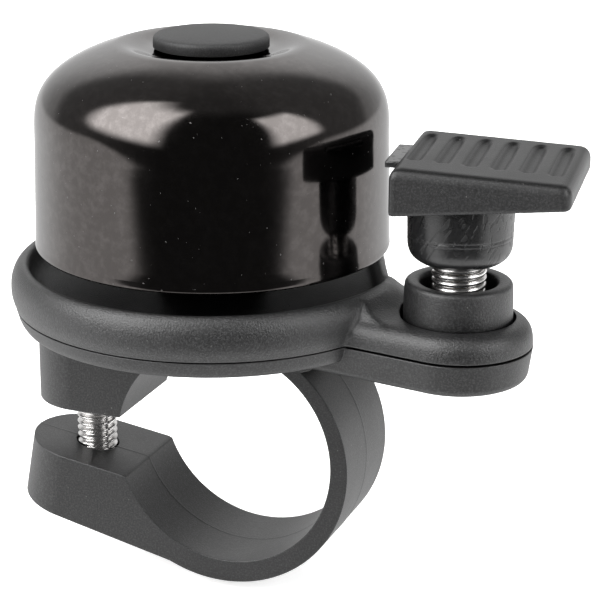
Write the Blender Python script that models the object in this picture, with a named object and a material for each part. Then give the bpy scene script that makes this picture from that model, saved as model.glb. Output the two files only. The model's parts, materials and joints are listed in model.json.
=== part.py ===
"""Bicycle bell with a spring-mounted thumb striker, clamped to a 22.2 mm handlebar.

Frame: metres, +Z up.  The origin is the crown of the clamp's bore, where the bell sits on
the bar; the bar runs along Y, the striker's ear points to +X and the clamp's lugs to -X.
Lengths below are in millimetres and are scaled once, when a mesh is made.
"""

import math

import bmesh
import bpy
from mathutils import Matrix, Vector

MM = 0.001

# --- clamp ----------------------------------------------------------------------------
BAR_R = 11.1                     # handlebar radius, 22.2 mm bar
BORE_Z = -BAR_R                  # height of the bore's axis
LAND_HALF = 1.5                  # half width of the flat land along the bore's crown
CLAMP_HALF = 5.6                 # half the width of saddle, band and lugs along the bar
CLEAR = 0.3                      # running gap between neighbouring pieces

SCREW_X = -16.1                  # axis of the clamp screw
SCREW_R = 2.0                    # M4
SCREW_PITCH = 0.7
THREAD_DEPTH = 0.36
WASHER_TOP = -17.7
WASHER_THICK = 0.8
NUT_LOW, NUT_TOP = -4.1, -0.9
NUT_HALF_FLATS = 3.5
LUG_FACE_Z = -8.85               # underside of the upper lug
LUG_END_R = 5.6                  # round end of both lugs

HINGE_ANGLE = math.radians(50)   # place of the band's flexing root round the bore
BAND_MID_R = 11.85               # middle of the band's thickness at the root
BAND_ROOT_R = 12.5               # outside of the band at its root
BAND_SWELL = 0.95                # how much thicker the band is at the lower lug
BAND_SWEEP = 115                 # degrees of band below the bar's own level
LOWER_TOP_BORE = (-10.75, -14.95)    # lower lug's top face, at the bore
LOWER_TOP_END = (-23.5, -13.05)      # the same face produced beyond its outer end
LOWER_FOOT = (-24.5, -19.1)          # underside of the lower lug, produced likewise
LOWER_END_TILT = math.radians(10)    # lean of the lower lug's round end

# --- base -----------------------------------------------------------------------------
DOME_X = -3.15                   # dome axis
SEAM_Z = 2.85                    # joint plane of the two base shells
SEAM_GAP = 0.15
DISC_R = 19.05                   # outer radius of the base at the seam
DISC_UNDER = 1.2                 # underside of the base disc
FLAT_HEADING = math.radians(22)  # direction the flat beside the ear faces
FLAT_REACH = 17.0                # distance of that flat from the dome axis

EAR_END_X, EAR_END_Y = 22.6, -3.6    # centre of the ear's round end
EAR_R = 6.85                     # radius of the ear's round end
EAR_ROOT_X, EAR_ROOT_Y = 8.0, -2.4   # centre of the circle at the ear's root
EAR_ROOT_R = 5.5
EAR_UNDER = -0.3
EAR_TOP = 5.3
EAR_DRAFT = 0.13                 # inward lean of the ear below the seam, mm per mm

SHELL_SCREW_R = 1.0
SHELL_SCREW_HEAD_R = 2.1
SHELL_SCREW_CIRCLE = 12.5        # distance of the shell screws from the dome axis
SHELL_SCREW_HEADINGS = (72, 128, 288)

# --- dome -----------------------------------------------------------------------------
RIM_Z = 8.6                      # lower edge of the dome
RIM_R = 16.95
WALL_R = 16.72                   # top of the dome's straight wall
WALL_TOP = 19.5
CROWN_Z = 29.4                   # apex the shoulder curve runs to, before the dimple
SHELL_THICK = 0.9
DIMPLE_R = 9.2                   # edge of the dimple round the cap
DIMPLE_FLAT_R = 4.6              # flat floor of the dimple
DIMPLE_DEEP = 1.4
CAP_R = 5.45

# --- striker --------------------------------------------------------------------------
CUP_X, CUP_Y = 22.45, -3.25      # axis of the striker's cup
CUP_R = 5.0
CUP_TOP = 8.7
CUP_HOLE_R = CUP_R + CLEAR
FLANGE_R = 5.6                   # flange that keeps the cup between the shells
WELL_R = 3.45
STRIKE_YAW = math.radians(7.1)   # the thumb lever's turn about the cup's axis
FLEX_Z = 9.45                    # height at which the striker's spring bends

SPRING_R = 2.21                  # mean coil radius
WIRE_R = 0.29
SPRING_PITCH = 0.64
SPRING_LOW = 4.45
SPRING_TURNS = 12.75
STEM_R = 4.85
STEM_TOP = 17.8

LEVER_IN, LEVER_OUT = -5.18, 10.6    # ends of the lever, from the cup's axis
LEVER_HALF = 7.75
LEVER_TOP_IN, LEVER_TOP_OUT = 20.62, 19.98
LEVER_LOW_IN, LEVER_LOW_OUT = 16.22, 17.82
GROOVES = 6
GROOVE_FIRST, GROOVE_STEP = -3.7, 2.5
GROOVE_R, GROOVE_DEEP = 0.9, 0.3
GROOVE_FRONT = -3.4              # front end of the first groove, from the cup's axis
GROOVE_BACK = 4.9                # where the grooves begin to run out towards the far edge
TAB_LOW, TAB_TOP = 19.47, 20.07

ROUND = 48                       # segments of the large turned pieces
SMALL = 24                       # segments of the small turned pieces
TINY = 16                        # segments of pins and screw holes


# --- mesh helpers ---------------------------------------------------------------------
def clear_scene():
    for obj in list(bpy.data.objects):
        bpy.data.objects.remove(obj, do_unlink=True)


def material(name, colour, roughness, metallic=0.0):
    mat = bpy.data.materials.new(name)
    mat.use_nodes = True
    shader = mat.node_tree.nodes["Principled BSDF"]
    shader.inputs["Base Color"].default_value = (*colour, 1.0)
    shader.inputs["Roughness"].default_value = roughness
    shader.inputs["Metallic"].default_value = metallic
    mat.diffuse_color = (*colour, 1.0)
    return mat


def mesh_object(name, bm, mat=None):
    """Turns a bmesh in millimetres into an object in metres."""
    bmesh.ops.recalc_face_normals(bm, faces=bm.faces)
    bmesh.ops.scale(bm, vec=(MM, MM, MM), verts=bm.verts)
    mesh = bpy.data.meshes.new(name)
    bm.to_mesh(mesh)
    bm.free()
    obj = bpy.data.objects.new(name, mesh)
    bpy.context.scene.collection.objects.link(obj)
    if mat is not None:
        mesh.materials.append(mat)
    return obj


def skin(name, rings, mat=None, closed=False):
    """Solid through rings of points; all rings have the same count, or one point for a pole."""
    bm = bmesh.new()
    rows = [[bm.verts.new(point) for point in ring] for ring in rings]
    count = max(len(row) for row in rows)
    pairs = list(zip(rows, rows[1:]))
    if closed:
        pairs.append((rows[-1], rows[0]))
    for low, high in pairs:
        if len(low) == 1 and len(high) == 1:
            continue
        for i in range(count):
            j = (i + 1) % count
            corners = [low[i % len(low)], low[j % len(low)], high[j % len(high)], high[i % len(high)]]
            bm.faces.new(list(dict.fromkeys(corners)))
    if not closed:
        bm.faces.new(rows[0])
        bm.faces.new(rows[-1])
    return mesh_object(name, bm, mat)


def circle(x, y, radius, z, segments):
    if radius < 1e-6:
        return [(x, y, z)]
    points = []
    for i in range(segments):
        angle = 2 * math.pi * i / segments
        points.append((x + radius * math.cos(angle), y + radius * math.sin(angle), z))
    return points


def turned(name, profile, centre=(0.0, 0.0), segments=SMALL, mat=None):
    """Solid of revolution about a vertical axis; profile is a closed loop of (radius, z)."""
    rings = [circle(centre[0], centre[1], radius, z, segments) for radius, z in profile]
    return skin(name, rings, mat, closed=True)


def prism(name, outline, low, high, axis="Z", mat=None):
    """Extrudes a closed outline: (x, y) along Z, or (x, z) along Y."""
    if axis == "Z":
        rings = [[(u, v, level) for u, v in outline] for level in (low, high)]
    else:
        rings = [[(u, level, v) for u, v in outline] for level in (low, high)]
    return skin(name, rings, mat)


def cylinder(name, centre, radius, low, high, segments=SMALL):
    return turned(name, [(0, low), (radius, low), (radius, high), (0, high)], centre, segments)


def tube(name, centre, inner, outer, low, high, mat, segments=SMALL):
    obj = turned(name, [(inner, low), (outer, low), (outer, high), (inner, high)], centre, segments, mat)
    smooth(obj)
    return obj


def threaded(name, centre, low, high, segments=14, mat=None):
    """Rod with a right-handed thread: the radius follows the thread's phase round the axis."""
    rows_per_turn = 2
    rows = int((high - low) / SCREW_PITCH * rows_per_turn)
    rings = []
    for row in range(rows + 1):
        z = low + (high - low) * row / rows
        ring = []
        for i in range(segments):
            phase = (row / rows_per_turn - i / segments) % 1.0
            root = 1.0 - abs(2 * phase - 1)
            if row in (0, rows):
                root = 1.0
            radius = SCREW_R - THREAD_DEPTH * root
            angle = 2 * math.pi * i / segments
            ring.append((centre[0] + radius * math.cos(angle), centre[1] + radius * math.sin(angle), z))
        rings.append(ring)
    return skin(name, rings, mat)


def combine(target, tool, operation):
    """Boolean of two objects, baked into the target; the tool is removed."""
    mod = target.modifiers.new("combine", "BOOLEAN")
    mod.operation = operation
    mod.solver = "EXACT"
    mod.object = tool
    bake(target)
    bpy.data.objects.remove(tool, do_unlink=True)
    return target


def cut(target, tool):
    return combine(target, tool, "DIFFERENCE")


def join(target, tool):
    return combine(target, tool, "UNION")


def bake(obj):
    """Replaces the mesh with its evaluated one and tidies what the booleans leave."""
    graph = bpy.context.evaluated_depsgraph_get()
    mesh = bpy.data.meshes.new_from_object(obj.evaluated_get(graph))
    old = obj.data
    obj.modifiers.clear()
    obj.data = mesh
    bpy.data.meshes.remove(old)
    bm = bmesh.new()
    bm.from_mesh(mesh)
    bmesh.ops.remove_doubles(bm, verts=bm.verts, dist=2e-6)
    bmesh.ops.dissolve_degenerate(bm, edges=bm.edges, dist=1e-6)
    bm.to_mesh(mesh)
    bm.free()


def bevel(obj, width, segments=2, angle=40):
    mod = obj.modifiers.new("bevel", "BEVEL")
    mod.width = width * MM
    mod.segments = segments
    mod.limit_method = "ANGLE"
    mod.angle_limit = math.radians(angle)
    bake(obj)


def smooth(obj, angle=35):
    obj.data.shade_smooth()
    obj.data.set_sharp_from_angle(angle=math.radians(angle))


def turn(obj, angle, about):
    """Rotates the mesh about a vertical axis through a point."""
    x, y = about[0] * MM, about[1] * MM
    to_axis = Matrix.Translation((-x, -y, 0))
    obj.data.transform(to_axis.inverted() @ Matrix.Rotation(angle, 4, "Z") @ to_axis)


def rehome(obj, point):
    """Moves the object's origin to a point, leaving its mesh where it is."""
    home = Vector(point) * MM
    obj.data.transform(Matrix.Translation(-home))
    obj.location = home


# --- outlines -------------------------------------------------------------------------
def arc(cx, cy, radius, start, end, steps):
    """Points on an arc, angles in degrees, both ends included."""
    points = []
    for i in range(steps + 1):
        angle = math.radians(start + (end - start) * i / steps)
        points.append((cx + radius * math.cos(angle), cy + radius * math.sin(angle)))
    return points


def box_outline(x0, x1, y0, y1):
    return [(x0, y0), (x1, y0), (x1, y1), (x0, y1)]


def hexagon(x, y, half_flats):
    corner = half_flats / math.cos(math.pi / 6)
    return arc(x, y, corner, 0, 300, 5)


def slot_outline(x, radius, reach):
    return arc(x + reach, 0, radius, -90, 90, 12) + arc(x, 0, radius, 90, 270, 12)


def lug_outline(end_x, start_x):
    """Plan of a lug: straight sides and a round end."""
    return arc(end_x, 0, LUG_END_R, 90, 270, 20) + [(start_x, -CLAMP_HALF), (start_x, CLAMP_HALF)]


def bore_point(angle, radius):
    return (radius * math.cos(angle), BORE_Z + radius * math.sin(angle))


def bore_outline():
    """Bore for the bar, with a flat land along its crown."""
    half = math.degrees(math.asin(LAND_HALF / BAR_R))
    return arc(0, BORE_Z, BAR_R, 90 + half, 450 - half, 60) + [(LAND_HALF, 0), (-LAND_HALF, 0)]


def band_outer_radius(angle):
    """The band thickens steadily from its root round to the lower lug."""
    around = (HINGE_ANGLE - angle) / (HINGE_ANGLE + math.radians(BAND_SWEEP))
    return BAND_ROOT_R + BAND_SWELL * around


def ear_outline(shrink=0.0):
    """Plan of the striker's ear: two circles and their common tangents."""
    root = Vector((EAR_ROOT_X, EAR_ROOT_Y))
    end = Vector((EAR_END_X, EAR_END_Y))
    along = end - root
    heading = math.degrees(math.atan2(along.y, along.x))
    lean = math.degrees(math.asin((EAR_R - EAR_ROOT_R) / along.length))
    back, front = heading + 90 + lean, heading - 90 - lean
    tip = arc(end.x, end.y, EAR_R - shrink, front, back, 24)
    back_root = arc(root.x, root.y, EAR_ROOT_R - shrink, back, back + 25, 2)
    front_root = arc(root.x, root.y, EAR_ROOT_R - shrink, front - 25, front, 2)
    return tip + back_root + front_root


def ear_stack(name, levels):
    """Stacks the ear's outline at several heights, each drawn in by its own amount."""
    rings = []
    for shrink, z in levels:
        rings.append([(x, y, z) for x, y in ear_outline(shrink)])
    return skin(name, rings)


def along_flat(name, profile, half_length):
    """Extrudes a (distance from the dome axis, z) profile along the flat beside the ear."""
    obj = prism(name, [(DOME_X + u, z) for u, z in profile], -half_length, half_length, "Y")
    turn(obj, FLAT_HEADING, (DOME_X, 0))
    return obj


def behind_flat(reach):
    """Everything outside the flat beside the ear."""
    return along_flat("behind_flat", box_outline(reach, 30, 0, 12), 30)


def shell_screw_places():
    """Three screws join the shells, clear of the saddle and of the clamp's nut."""
    places = []
    for heading in SHELL_SCREW_HEADINGS:
        angle = math.radians(heading)
        places.append((DOME_X + SHELL_SCREW_CIRCLE * math.cos(angle), SHELL_SCREW_CIRCLE * math.sin(angle)))
    return places


# --- base shells ----------------------------------------------------------------------
def base_lower(mat):
    """Lower shell: disc plate, underside of the ear, saddle with the bore, and the upper lug."""
    shell = turned(
        "base_lower",
        [
            (0, DISC_UNDER), (18.0, DISC_UNDER), (18.45, 1.35), (18.75, 1.8), (DISC_R, SEAM_Z), (0, SEAM_Z),
        ],
        (DOME_X, 0), ROUND, mat)
    cut(shell, behind_flat(FLAT_REACH - 0.1))
    join(shell, ear_floor())
    join(shell, saddle())
    join(shell, prism("lug", lug_outline(SCREW_X, -10.5), LUG_FACE_Z, 2.0))
    cut(shell, prism("bore", bore_outline(), -CLAMP_HALF - 1, CLAMP_HALF + 1, "Y"))

    nut_pocket = hexagon(SCREW_X, 0, NUT_HALF_FLATS + CLEAR)
    cut(shell, prism("nut_pocket", nut_pocket, NUT_LOW - 0.1, SEAM_Z + 1))
    cut(shell, cylinder("screw_hole", (SCREW_X, 0), SCREW_R + 0.45, LUG_FACE_Z - 1, 0))
    cut(shell, cylinder("cup_recess", (CUP_X, CUP_Y), FLANGE_R + CLEAR, 0.8, SEAM_Z + 1))
    for place in shell_screw_places():
        cut(shell, cylinder("screw_way", place, SHELL_SCREW_R + CLEAR, 0, SEAM_Z + 1, TINY))
        cut(shell, cylinder("head_seat", place, SHELL_SCREW_HEAD_R + CLEAR, 0, DISC_UNDER + 0.7, TINY))
    smooth(shell)
    return shell


def ear_floor():
    """Lower half of the ear, drafted inwards below the seam and rounded at its lower edge."""
    fall = SEAM_Z - EAR_UNDER
    levels = [
        (EAR_DRAFT * fall + 0.5, EAR_UNDER), (EAR_DRAFT * fall + 0.1, EAR_UNDER + 0.2),
        (EAR_DRAFT * (fall - 0.6), EAR_UNDER + 0.6), (0.0, SEAM_Z),
    ]
    ear = ear_stack("ear_floor", levels)
    inner_end = prism("inner_end", box_outline(-4, 9.6, -20, 20), EAR_UNDER - 1, DISC_UNDER + 0.4)
    return cut(ear, inner_end)


def saddle():
    """Block under the disc that sits on the bar and runs down to the band's root."""
    root = bore_point(HINGE_ANGLE, BAND_ROOT_R)
    outline = [
        (SCREW_X, LUG_FACE_Z), (SCREW_X, 2.0), (9.0, 2.0), (9.9, EAR_UNDER + 0.2), (9.2, root[1] + 0.35), root,
        bore_point(HINGE_ANGLE, BAR_R - 1.0), (0.0, BORE_Z), (-9.0, LUG_FACE_Z),
    ]
    return prism("saddle", outline, -CLAMP_HALF, CLAMP_HALF, "Y")


def base_upper(mat):
    """Upper shell: dished disc with a rolled rim, the post for the dome and the ear's cover."""
    low = SEAM_Z + SEAM_GAP
    post_top = dome_height(DIMPLE_FLAT_R) - SHELL_THICK - 1.1
    well_floor = post_top - 7.5
    profile = [
        (1.9, low), (DISC_R, low), (19.38, 3.8), (19.45, 4.6), (19.4, 5.4), (19.2, 6.1),
        (18.8, 6.75), (18.3, 7.1), (17.95, 7.1), (17.65, 6.8), (17.5, 6.1), (17.1, 5.3), (16.3, 4.9),
        (6.4, 4.7), (5.3, 5.2), (4.8, 6.4), (4.2, post_top), (2.8, post_top), (2.8, well_floor),
        (1.9, well_floor),
    ]
    shell = turned("base_upper", profile, (DOME_X, 0), ROUND, mat)
    cut(shell, behind_flat(FLAT_REACH))
    join(shell, flat_rim(low))
    join(shell, ear_cover(low))
    cut(shell, cylinder("cup_hole", (CUP_X, CUP_Y), CUP_HOLE_R, low - 1, EAR_TOP + 3))
    for place in shell_screw_places():
        cut(shell, cylinder("pilot", place, SHELL_SCREW_R + CLEAR, low - 1, 4.35, TINY))
    cut(shell, cylinder("nut_room", (SCREW_X, 0), SCREW_R + 0.4, low - 1, 3.6))
    smooth(shell)
    return shell


def flat_rim(low):
    """Rolled rim along the flat beside the ear, tucked in under the dome's edge."""
    inset_profile = [
        (1.9, low + 0.2), (0.05, low + 0.2), (0.0, 4.8), (0.25, 6.1), (0.6, 6.75), (1.0, 6.95),
        (1.35, 6.75), (1.6, 6.1), (1.7, 5.1),
    ]
    rim = along_flat("flat_rim", [(FLAT_REACH - inset, z) for inset, z in inset_profile], 12)
    return combine(rim, cylinder("within", (DOME_X, 0), 18.5, 0, 12, ROUND), "INTERSECT")


def ear_cover(low):
    """Cover of the ear with a rounded top edge and a fillet up to the disc's rim."""
    cover = ear_stack(
        "ear_cover",
        [(0.0, low), (0.05, 3.9), (0.2, 4.4), (0.55, 4.9), (1.0, 5.18), (1.6, EAR_TOP)])
    fillet = turned("fillet", fillet_slope(18.85, 0), (DOME_X, 0), ROUND)
    combine(fillet, along_flat("flat_fillet", fillet_slope(FLAT_REACH - 0.3, -25), 30), "INTERSECT")
    combine(fillet, prism("zone", ear_outline(0.35), 4.0, 8.0), "INTERSECT")
    join(cover, fillet)
    disc_room = cylinder("disc_room", (DOME_X, 0), 17.95, low - 1, 9, ROUND)
    cut(disc_room, behind_flat(FLAT_REACH - 0.6))
    return cut(cover, disc_room)


def fillet_slope(foot, inner):
    """Profile of the fillet: from the rim's top at the foot out to the ear's flat top."""
    slope = [
        (foot + 3.3, EAR_TOP - 0.1), (foot + 2.3, 5.45), (foot + 1.4, 5.85), (foot + 0.7, 6.4),
        (foot + 0.2, 6.85),
    ]
    return [(inner, 4.5), (foot + 3.3, 4.5)] + slope + [(inner, 6.9)]


def shell_screws(mat):
    """Screws let into the lower shell, holding it to the upper one."""
    head_top = DISC_UNDER + 0.65
    for number, place in enumerate(shell_screw_places(), 1):
        profile = [
            (0, 4.1), (0.7, 4.1), (SHELL_SCREW_R, 3.7), (SHELL_SCREW_R, head_top),
            (SHELL_SCREW_HEAD_R, head_top), (SHELL_SCREW_HEAD_R, head_top - 0.35),
            (1.6, head_top - 0.62), (0, head_top - 0.68),
        ]
        smooth(turned("shell_screw_%d" % number, profile, place, TINY, mat))


# --- dome -----------------------------------------------------------------------------
def dome_height(radius):
    """Height of the dome's outside over its rounded shoulder, with the dimple round the cap."""
    shoulder = (1 - (radius / WALL_R) ** 1.336) ** (1 / 3.231)
    z = WALL_TOP + (CROWN_Z - WALL_TOP) * shoulder
    t = min(max((DIMPLE_R - radius) / 3.8, 0.0), 1.0)
    return z - DIMPLE_DEEP * t * t * (3 - 2 * t)


def dome(mat):
    """Pressed shell with a straight wall, a rounded shoulder and a hole in its dimpled crown."""
    outer = [(RIM_R, RIM_Z), (RIM_R + 0.03, RIM_Z + 0.3), (RIM_R - 0.07, RIM_Z + 0.8), (WALL_R, WALL_TOP)]
    steps = 8
    for i in range(1, steps + 1):
        t = (i / steps) ** 2.2
        radius = WALL_R + (9.0 - WALL_R) * t
        outer.append((radius, dome_height(radius)))
    for radius in (7.4, 6.0, DIMPLE_FLAT_R):
        outer.append((radius, dome_height(radius)))
    hole_r = 2.9
    floor = dome_height(DIMPLE_FLAT_R)
    inner = [(RIM_R - SHELL_THICK, RIM_Z)]
    for i in range(3, len(outer) - 1, 2):
        along = (Vector(outer[i + 1]) - Vector(outer[i - 1])).normalized()
        inner.append((outer[i][0] - along.y * SHELL_THICK, outer[i][1] + along.x * SHELL_THICK))
    inner.append((DIMPLE_FLAT_R, floor - SHELL_THICK))
    inner.append((hole_r, floor - SHELL_THICK))
    obj = turned("dome", outer + [(hole_r, floor)] + inner[::-1], (DOME_X, 0), 60, mat)
    smooth(obj, 50)


def cap(mat):
    """Snap-on cover over the centre screw."""
    low = dome_height(DIMPLE_FLAT_R) + 0.1
    profile = [
        (CAP_R, low), (CAP_R, low + 0.85), (CAP_R - 0.15, low + 1.05), (CAP_R - 0.45, low + 1.15),
        (3.0, low + 1.27), (0, low + 1.3), (0, low + 0.9), (4.4, low + 0.9), (4.4, low),
    ]
    smooth(turned("cap", profile, (DOME_X, 0), 40, mat), 50)


def dome_fixings(steel, brass, nylon):
    """Centre screw with its washer, the isolating spacer and the threaded insert."""
    centre = (DOME_X, 0)
    crown = dome_height(DIMPLE_FLAT_R)
    inside = crown - SHELL_THICK
    sleeve_r = 1.85
    collar_r = 3.9
    tube("crown_washer", centre, sleeve_r, collar_r, crown + 0.1, crown + 0.38, nylon)

    head_low = crown + 0.46
    screw_profile = [
        (0, inside - 9.0), (1.2, inside - 9.0), (1.5, inside - 8.6), (1.5, head_low), (2.9, head_low),
        (2.9, head_low + 0.25), (2.5, head_low + 0.38), (0, head_low + 0.42),
    ]
    smooth(turned("centre_screw", screw_profile, centre, SMALL, steel))

    spacer_profile = [
        (sleeve_r, inside - 0.9), (collar_r, inside - 0.9), (collar_r, inside - 0.1), (2.6, inside - 0.1),
        (2.6, crown), (sleeve_r, crown),
    ]
    smooth(turned("dome_spacer", spacer_profile, centre, SMALL, nylon))

    insert_top = inside - 2.0
    tube("centre_insert", centre, 1.8, 2.4, insert_top - 6.0, insert_top, brass)


# --- clamp ----------------------------------------------------------------------------
def clamp_band(mat):
    """Band round the bar with the lower lug at its free end."""
    start = math.degrees(HINGE_ANGLE) - 1.2
    steps = 33
    outline = []
    for i in range(steps + 1):
        angle = math.radians(start - (start + BAND_SWEEP) * i / steps)
        outline.append(bore_point(angle, band_outer_radius(angle)))
    outline += [LOWER_FOOT, LOWER_TOP_END, LOWER_TOP_BORE]
    last = math.degrees(math.atan2(LOWER_TOP_BORE[1] - BORE_Z, LOWER_TOP_BORE[0]))
    outline += arc(0, BORE_Z, BAR_R, last, start, 40)[1:]
    band = prism("clamp_band", outline, -CLAMP_HALF, CLAMP_HALF, "Y", mat)

    combine(band, leaning_plan(), "INTERSECT")
    cut(band, prism("screw_slot", slot_outline(SCREW_X - 0.2, SCREW_R + 0.5, 0.9), -30, -10))
    cut(band, prism("head_room", slot_outline(SCREW_X - 0.2, 4.4, 0.9), -30, WASHER_TOP + 0.1))
    smooth(band, 30)
    rehome(band, hinge_point())


def leaning_plan():
    """Plan of the lower lug, produced upwards and downwards; its round end leans outwards."""
    low, high = -31, -3
    middle = -15
    shift = math.tan(LOWER_END_TILT)
    rings = []
    for z in (low, high):
        lean = (z - middle) * shift
        ring = []
        for x, y in lug_outline(-17.3, 25.0):
            moved = x + lean if x < -12 else x
            ring.append((moved, y, z))
        rings.append(ring)
    plan = skin("plan", rings)
    join(plan, prism("rest", box_outline(-12, 25, -CLAMP_HALF - 1, CLAMP_HALF + 1), high - 2, 12))
    return plan


def hinge_point():
    x, z = bore_point(HINGE_ANGLE, BAND_MID_R)
    return (x, 0, z)


def clamp_hardware(steel):
    """Washer, cross-slotted clamp screw and the nut caught in the upper lug."""
    centre = (SCREW_X, 0)
    washer = tube("clamp_washer", centre, SCREW_R + CLEAR, 3.9, WASHER_TOP - WASHER_THICK, WASHER_TOP, steel)
    head_top = WASHER_TOP - WASHER_THICK - 0.1
    screw = threaded("clamp_screw", centre, head_top - 0.83, -0.4, mat=steel)
    head_profile = [
        (0, head_top), (3.5, head_top), (3.5, head_top - 1.6), (3.1, head_top - 2.2),
        (1.9, head_top - 2.5), (0, head_top - 2.5),
    ]
    join(screw, turned("head", head_profile, centre))
    slot_half, slot_reach = 0.45, 2.2
    drive_a = box_outline(SCREW_X - slot_reach, SCREW_X + slot_reach, -slot_half, slot_half)
    drive_b = box_outline(SCREW_X - slot_half, SCREW_X + slot_half, -slot_reach, slot_reach)
    for outline in (drive_a, drive_b):
        cut(screw, prism("drive", outline, -30, head_top - 1.1))
    smooth(screw, 30)
    for obj in (washer, screw):
        rehome(obj, (SCREW_X, 0, head_top))

    nut = prism("clamp_nut", hexagon(SCREW_X, 0, NUT_HALF_FLATS), NUT_LOW, NUT_TOP, mat=steel)
    cut(nut, cylinder("nut_bore", centre, SCREW_R + CLEAR, -6, 1))
    smooth(nut)


# --- striker --------------------------------------------------------------------------
def cup(mat):
    """Turning cup: a flange held between the shells and a deep well for the spring."""
    profile = [
        (1.25, 1.3), (FLANGE_R, 1.3), (FLANGE_R, 2.5), (CUP_R + 0.02, 2.5), (CUP_R, 5.0),
        (CUP_R - 0.05, CUP_TOP - 0.45), (4.78, CUP_TOP - 0.13), (4.45, CUP_TOP), (3.8, CUP_TOP - 0.05),
        (3.55, CUP_TOP - 0.25), (WELL_R, CUP_TOP - 0.75), (3.4, 4.0), (1.25, 4.0),
    ]
    obj = turned("cup", profile, (CUP_X, CUP_Y), 36, mat)
    smooth(obj)
    return obj


def spring(steel):
    """Close-wound striker spring."""
    per_turn, sides = 14, 5
    rings = []
    for step in range(int(SPRING_TURNS * per_turn) + 1):
        angle = 2 * math.pi * step / per_turn
        z = SPRING_LOW + SPRING_PITCH * step / per_turn
        ring = []
        for side in range(sides):
            t = 2 * math.pi * side / sides
            radius = SPRING_R + WIRE_R * math.cos(t)
            x, y = CUP_X + radius * math.cos(angle), CUP_Y + radius * math.sin(angle)
            ring.append((x, y, z + WIRE_R * math.sin(t)))
        rings.append(ring)
    obj = skin("spring", rings, steel)
    smooth(obj, 70)
    return obj


def peg(name, end, shoulder, nose, brass):
    """Peg that holds one end of the spring: a shank in the moulding and a fat nose in the coil."""
    toward = 1 if nose > end else -1
    profile = [
        (0, end), (0.95, end), (0.95, shoulder), (1.6, shoulder), (1.6, nose - 0.4 * toward),
        (1.3, nose), (0, nose),
    ]
    obj = turned(name, profile, (CUP_X, CUP_Y), TINY, brass)
    smooth(obj)
    return obj


def stem(mat):
    profile = [
        (1.25, STEM_TOP), (1.25, 13.55), (2.95, 13.55), (2.95, 10.45), (3.4, 10.5), (4.05, 10.8),
        (4.5, 11.25), (4.72, 11.95), (4.76, 12.6), (STEM_R, 15.8), (STEM_R, STEM_TOP),
    ]
    obj = turned("stem", profile, (CUP_X, CUP_Y), 36, mat)
    smooth(obj)
    return obj


def lever(mat):
    """Wedge-shaped thumb pad with thumb grooves, on the stem's head."""
    side = [
        (CUP_X + LEVER_IN, LEVER_LOW_IN), (CUP_X + LEVER_OUT, LEVER_LOW_OUT),
        (CUP_X + LEVER_OUT, LEVER_TOP_OUT), (CUP_X + LEVER_IN, LEVER_TOP_IN),
    ]
    obj = prism("lever", side, CUP_Y - LEVER_HALF, CUP_Y + LEVER_HALF, "Y", mat)
    bevel(obj, 0.7, 3)
    for i in range(GROOVES):
        cut(obj, groove(GROOVE_FIRST + GROOVE_STEP * i, GROOVE_FRONT - 0.1 * i))
    cut(obj, cylinder("socket", (CUP_X, CUP_Y), STEM_R + CLEAR, 12, STEM_TOP + CLEAR))
    pocket = box_outline(CUP_X - 9, CUP_X - 4.1, CUP_Y - 3.5, CUP_Y + 3.5)
    cut(obj, prism("pocket", pocket, TAB_LOW - 0.11, TAB_TOP + 0.11))
    turn(obj, STRIKE_YAW, (CUP_X, CUP_Y))
    smooth(obj)
    return obj


def groove(x, front):
    """Scoop for a thumb groove: a lying cylinder whose two ends rise to the surface."""
    slope = (LEVER_TOP_OUT - LEVER_TOP_IN) / (LEVER_OUT - LEVER_IN)
    z = LEVER_TOP_IN + slope * (x - LEVER_IN) + GROOVE_R - GROOVE_DEEP
    nose = ((0.55, 0.05), (0.3, 0.6), (-0.1, 0.9), (-0.6, 1.0))
    stations = [(front - reach, scale) for reach, scale in nose]
    stations += [(GROOVE_BACK + 2 * reach, scale) for reach, scale in reversed(nose)]
    sides = 14
    rings = []
    for y, scale in stations:
        drop = (1 - scale) * 0.5
        ring = []
        for i in range(sides):
            t = 2 * math.pi * i / sides
            radius = GROOVE_R * scale
            ring.append((CUP_X + x + radius * math.sin(t), CUP_Y + y, z - radius * math.cos(t) - drop))
        rings.append(ring)
    return skin("groove", rings)


def striker_tab(mat):
    """Hard insert in the lever's inner end: the piece that hits the dome."""
    outline = box_outline(CUP_X - 6.4, CUP_X - 4.25, CUP_Y - 3.2, CUP_Y + 3.2)
    obj = prism("striker_tab", outline, TAB_LOW, TAB_TOP, mat=mat)
    bevel(obj, 0.12, 1)
    turn(obj, STRIKE_YAW, (CUP_X, CUP_Y))
    smooth(obj)
    return obj


def striker(shell_plastic, stem_plastic, steel, brass):
    """Cup and spring turn about the cup's axis; stem, lever and tab also rock at FLEX_Z."""
    wave_washer = tube("cup_washer", (CUP_X, CUP_Y), 3.2, FLANGE_R - 0.1, 0.9, 1.2, steel)
    swivelling = [
        wave_washer, cup(shell_plastic), spring(steel), peg("lower_peg", 1.4, 4.1, 6.4, brass),
    ]
    rocking = [
        stem(stem_plastic), lever(shell_plastic), striker_tab(stem_plastic),
        peg("upper_peg", 15.8, 13.45, 10.9, brass),
    ]
    for obj in swivelling:
        rehome(obj, (CUP_X, CUP_Y, 0))
    for obj in rocking:
        rehome(obj, (CUP_X, CUP_Y, FLEX_Z))


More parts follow.
